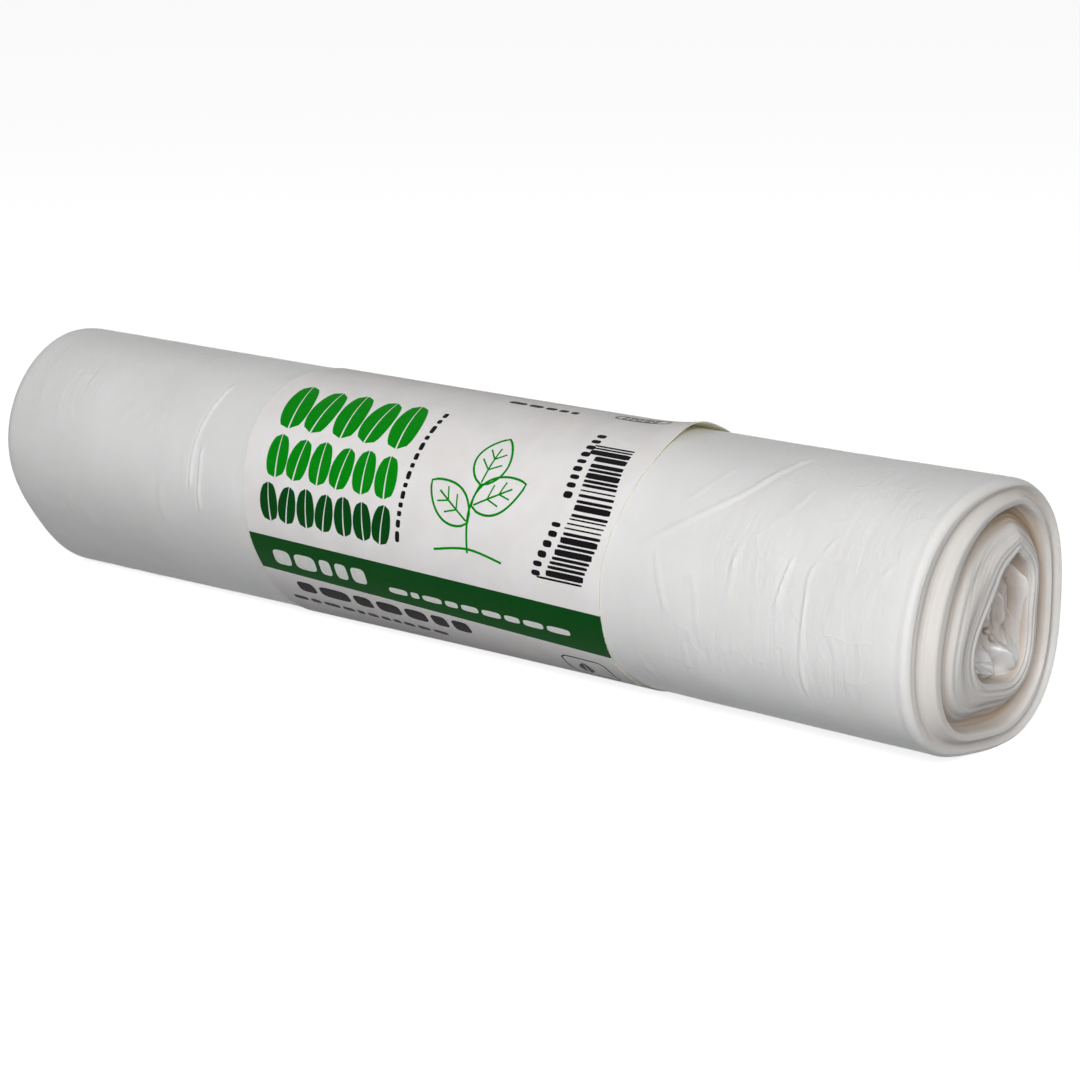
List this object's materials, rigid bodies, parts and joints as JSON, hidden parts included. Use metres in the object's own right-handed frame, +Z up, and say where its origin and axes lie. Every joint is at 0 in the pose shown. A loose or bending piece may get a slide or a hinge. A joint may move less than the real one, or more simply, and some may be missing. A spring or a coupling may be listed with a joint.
{
  "type": "bin bag roll",
  "caption": "Coreless roll of folded white plastic bin bags with a printed paper band wrapped round its middle.",
  "frame": {"origin": "middle of the roll's flat underside, on the surface that it lies on", "axes": "+X along the roll towards the end with the deeper telescoped turns, +Y to the back, +Z up"},
  "size_m": [0.25, 0.0576, 0.0567],
  "materials": {
    "film": "milky white polyethylene film with a soft sheen, finely wrinkled",
    "label_paper": "uncoated warm white paper, printed in two greens and black"
  },
  "bodies": {
    "root": {"film_roll": "film", "paper_band": "label_paper"}
  },
  "joints": []
}
